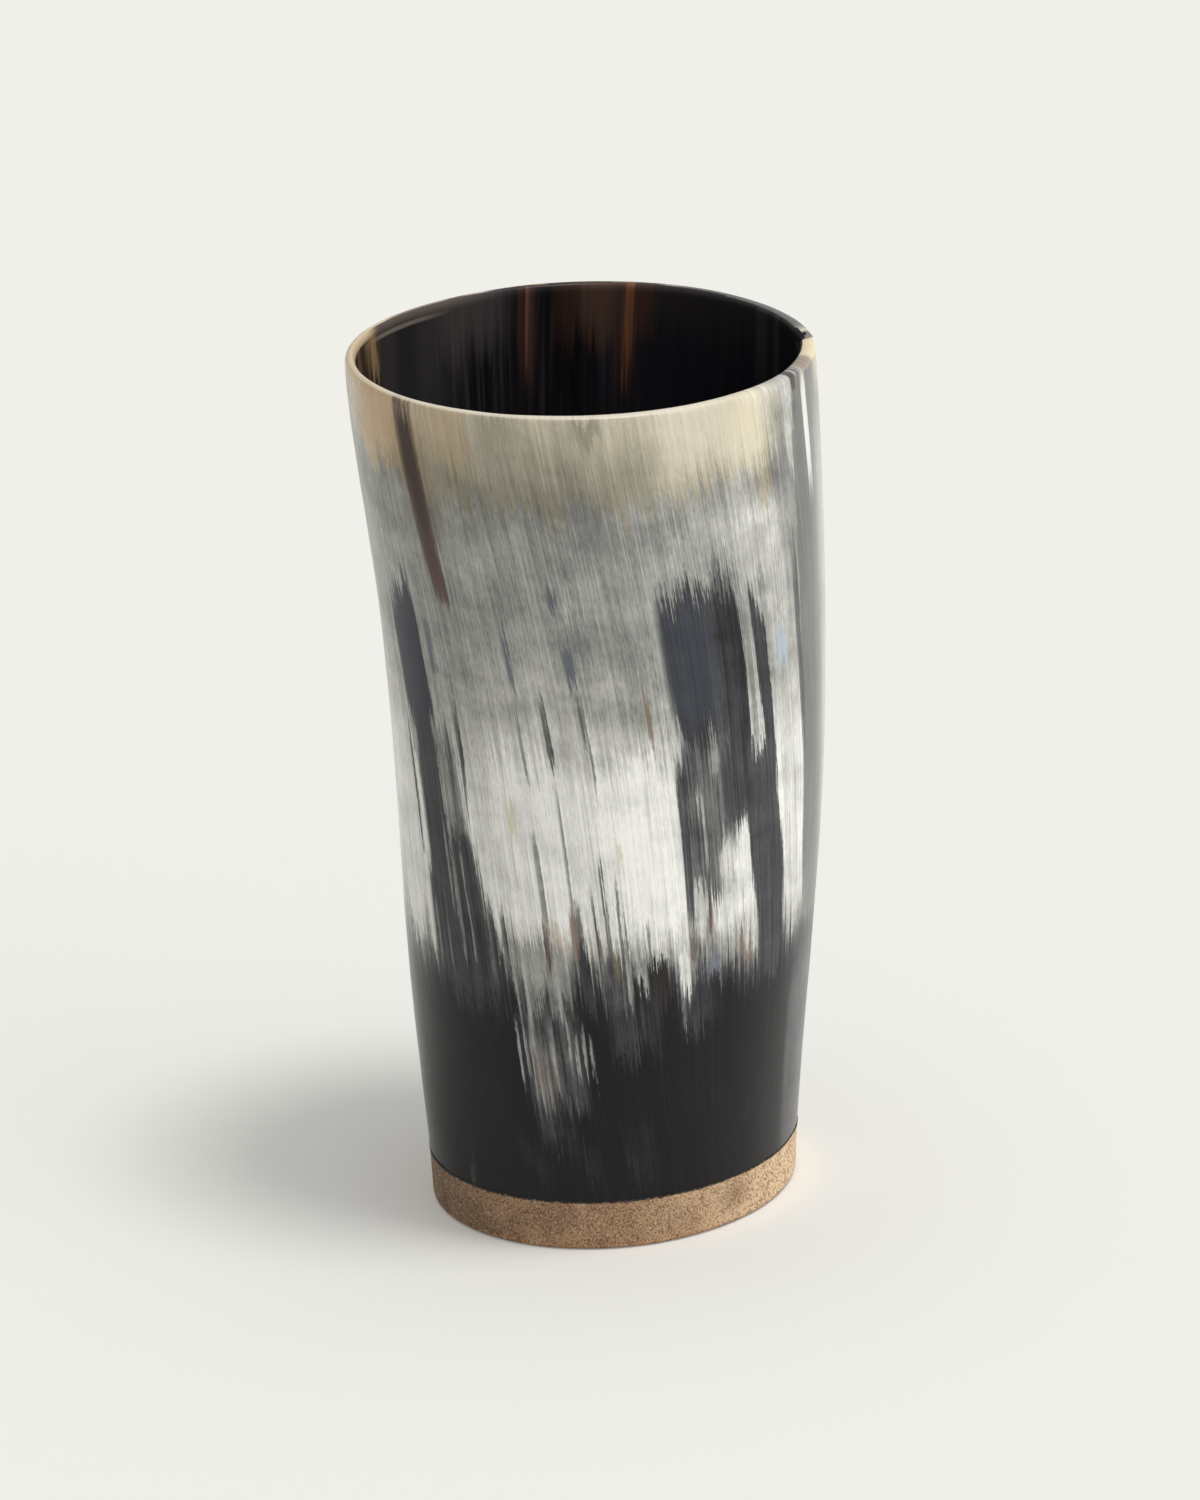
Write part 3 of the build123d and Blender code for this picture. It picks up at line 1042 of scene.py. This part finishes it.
parts = add_node(tree, "SeparateXYZ", {0: object_place})
for zone in wood_zones:
    share = add_node(
        tree, "MapRange",
        {
            "Value": parts.outputs[zone.axis], "From Min": zone.start * mm, "From Max": zone.full * mm,
            "To Max": zone.strength,
        },
    ).outputs[0]
    wood_colour = lay_share(tree, share, wood_colour, zone.colour)
print("zones:", len(wood_zones))

# %% Spots of the wood
# A darker figure at the left and a swirl at the right, each with its middle and reach in millimetres
Spot = namedtuple("Spot", "middle reach strength colour")
wood_spots = [
    Spot((-22, -21, 4), 7.0, 0.4, "5f4b3b"),
    Spot((20.5, -19.5, 5.5), 5.0, 0.6, "80593f"),
    Spot((12.5, -25, 3), 6.0, 0.4, "8a6448"),
]
for spot in wood_spots:
    middle = [part * mm for part in spot.middle]
    apart = add_node(
        tree, "VectorMath", {0: object_place, 1: middle}, operation="DISTANCE"
    ).outputs["Value"]
    share = add_node(
        tree, "MapRange",
        {"Value": apart, "From Min": spot.reach * mm, "From Max": 0.0, "To Max": spot.strength},
        interpolation_type="SMOOTHSTEP",
    ).outputs[0]
    wood_colour = lay_share(tree, share, wood_colour, spot.colour)
print("spots:", len(wood_spots))

# %% Lay the grain and dress the base
Layer = namedtuple("Layer", "grain start full strength colour blend")
wood_layers = [
    Layer("lines", 0.55, 0.72, 0.6, "c2a994", "MULTIPLY"),
    Layer("flecks", 0.55, 0.66, 0.45, "d2b998", "MIX"),
    Layer("pores", 0.5, 0.62, 0.85, "ac9a8a", "MULTIPLY"),
]
layer_shares = {}
for layer in wood_layers:
    layer_shares[layer.grain] = add_node(
        tree, "MapRange",
        {
            "Value": grains[layer.grain], "From Min": layer.start, "From Max": layer.full,
            "To Max": layer.strength,
        },
    ).outputs[0]
    wood_colour = lay_share(tree, layer_shares[layer.grain], wood_colour, layer.colour, layer.blend)
tree.links.new(wood_colour, shader.inputs["Base Color"])
shader.inputs["Roughness"].default_value = 0.62
shader.inputs["Specular IOR Level"].default_value = 0.35
pore_relief = add_node(
    tree, "Bump", {"Height": layer_shares["pores"], "Strength": 0.4, "Distance": 0.1 * mm}, invert=True
)
tree.links.new(pore_relief.outputs[0], shader.inputs["Normal"])
base_disc.data.materials.clear()
base_disc.data.materials.append(sanded_wood)
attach(base_disc, "root")
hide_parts("wood_base")
print("wood has", len(tree.nodes), "nodes")

# %% [markdown]
# ## The glue line and the sealed floor
# Glue was pressed out of the joint as the horn was pushed home. What was not scraped off dried as a
# thin crumbly line over the wood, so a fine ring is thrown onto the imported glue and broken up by
# noise. The floor of the cup is sealed with a coat of clear amber resin, brushed on, whose packed
# shape is right as it is.

# %% Squeeze out the glue
# One noise does both: it makes the edges of the ring ragged, then lets its surface sink here and there.
crumb_length, crumb_size = 0.26 * mm, 0.9 * mm
glue_inset, glue_rings = 0.02 * mm, 5
pressed_out = 1.002
ragged_height, ragged_level = 0.9 * mm, 0.58
sunk_depth, sunk_level = 0.3 * mm, 0.8
glue_thickness = 0.4 * mm
seam_round = 2 * math.pi * (seam_high.x - seam_low.x) / 2
glue_heights = np.linspace(seam_low.z + glue_inset, horn_low.z - glue_inset, glue_rings)
glue_line = ring_stack(
    "glue_line", outside_start, glue_heights, around=round(seam_round / crumb_length)
)
throw_onto(glue_line, "glue_seam")
select_vertices(glue_line, lambda place: True)
bpy.ops.mesh.normals_make_consistent(inside=False)
bpy.ops.transform.resize(value=(pressed_out, pressed_out, 1.0))
bpy.ops.object.mode_set(mode="OBJECT")
crumbs = bpy.data.textures.new("crumbs", "CLOUDS")
crumbs.noise_scale = crumb_size
apply_modifier(
    glue_line, "DISPLACE", texture=crumbs, texture_coords="LOCAL", direction="Z",
    strength=ragged_height, mid_level=ragged_level,
)
apply_modifier(
    glue_line, "DISPLACE", texture=crumbs, texture_coords="LOCAL",
    strength=sunk_depth, mid_level=sunk_level,
)
apply_modifier(glue_line, "SOLIDIFY", thickness=glue_thickness, offset=-1.0)
bpy.ops.object.shade_smooth()
print("glue line faces:", len(glue_line.data.polygons))

# %% Dark glue
# Dry glue is dull, and the wood dust in it makes it look like dark crumbs with a few pale ones.
glue_grain_size = 0.7 * mm
dark_glue, tree, shader = new_finish("dark_glue")
object_place = add_node(tree, "TexCoord").outputs["Object"]
glue_grain = add_node(
    tree, "TexNoise", {"Vector": object_place, "Scale": 1 / glue_grain_size, "Detail": 2.0}
).outputs["Fac"]
glue_colour = add_node(
    tree, "ValToRGB", {0: glue_grain},
    stops=[(0.42, linear("231e1d")), (0.6, linear("44372d")), (0.72, linear("8a7058"))],
).outputs[0]
tree.links.new(glue_colour, shader.inputs["Base Color"])
shader.inputs["Roughness"].default_value = 0.65
for piece in (glue_line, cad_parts["glue_seam"]):
    piece.data.materials.clear()
    piece.data.materials.append(dark_glue)
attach(glue_line, "root")
print("glue has", len(tree.nodes), "nodes")

# %% Clear floor coat
# Brushed resin is glossy, darker where it pooled, and keeps faint marks of the brush.
pool_size = 9 * mm
clear_resin, tree, shader = new_finish("clear_resin")
object_place = add_node(tree, "TexCoord").outputs["Object"]
resin_depth = add_node(
    tree, "TexNoise", {"Vector": object_place, "Scale": 1 / pool_size, "Detail": 3.0}
).outputs["Fac"]
resin_colour = add_node(
    tree, "ValToRGB", {0: resin_depth},
    stops=[(0.35, linear("3b2616")), (0.55, linear("5e3f26")), (0.7, linear("7d5836"))],
).outputs[0]
tree.links.new(resin_colour, shader.inputs["Base Color"])
resin_gloss = add_node(
    tree, "MapRange",
    {"Value": resin_depth, "From Min": 0.3, "From Max": 0.7, "To Min": 0.1, "To Max": 0.24},
).outputs[0]
tree.links.new(resin_gloss, shader.inputs["Roughness"])
brush_marks = add_node(tree, "Bump", {"Height": resin_depth, "Strength": 0.3, "Distance": 0.4 * mm})
tree.links.new(brush_marks.outputs[0], shader.inputs["Normal"])
floor_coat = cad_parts["floor_coat"]
floor_coat.data.materials.clear()
floor_coat.data.materials.append(clear_resin)
print("resin has", len(tree.nodes), "nodes")

# %% [markdown]
# ## Floor and light
# A wide pale floor fills the picture, painted matt so that it throws back no gleam. A soft key light
# almost overhead, a little to the right, throws the shadow to the left. A fill and a sky light the
# rest without shadows of their own, and a world that is brighter on the right models the cup as a
# large soft box would.

# %% Lay the floor
floor_side = 40.0
bpy.ops.object.select_all(action="DESELECT")
bpy.ops.mesh.primitive_plane_add(size=floor_side, location=(0.0, 0.0, 0.0))
floor = bpy.context.object
floor.name = "floor"
pale_floor, tree, shader = new_finish("pale_floor")
shader.inputs["Base Color"].default_value = linear("efeee9")
shader.inputs["Roughness"].default_value = 0.9
shader.inputs["Specular IOR Level"].default_value = 0.0
floor.data.materials.append(pale_floor)
print("floor is", floor_side, "m wide")

# %% Light the cup
# The key throws the shadow and gleams on the cup. The fill lights the walls from the right and the
# front, and the sky the floor. Tilts, turn and angle are in degrees.
Sun = namedtuple("Sun", "tilt_back tilt_right turn energy angle shadow")
suns = {
    "key": Sun(5, 13, 0, 0.98, 14, True),
    "fill": Sun(78, 0, 68, 1.25, 60, False),
    "sky": Sun(0, 0, 0, 0.67, 60, False),
}
for name, sun in suns.items():
    tilts = [math.radians(tilt) for tilt in (sun.tilt_back, sun.tilt_right, sun.turn)]
    bpy.ops.object.light_add(type="SUN", rotation=tilts)
    light = bpy.context.object
    light.name = name
    light.data.energy = sun.energy
    light.data.angle = math.radians(sun.angle)
    light.data.use_shadow = sun.shadow
    light.visible_glossy = sun.shadow
print("suns:", ", ".join(suns))

# %% Surround the cup
dim_side, bright_side, backdrop = 0.25, 0.55, 0.86
world = bpy.data.worlds.new("soft_studio")
scene.world = world
world.use_nodes = True
tree = world.node_tree
direction = add_node(tree, "TexCoord").outputs["Generated"]
sideways = add_node(tree, "SeparateXYZ", {0: direction}).outputs["X"]
side_light = add_node(
    tree, "MapRange",
    {"Value": sideways, "From Min": -1.0, "From Max": 1.0, "To Min": dim_side, "To Max": bright_side},
).outputs[0]
seen = add_node(tree, "LightPath").outputs["Is Camera Ray"]
strength = add_node(
    tree, "MapRange", {"Value": seen, "To Min": side_light, "To Max": backdrop}
).outputs[0]
tree.links.new(strength, tree.nodes["Background"].inputs["Strength"])
tree.nodes["Background"].inputs["Color"].default_value = (1.0, 1.0, 0.985, 1.0)
scene.view_settings.view_transform = "Standard"
print("world light from", dim_side, "at the left to", bright_side, "at the right")
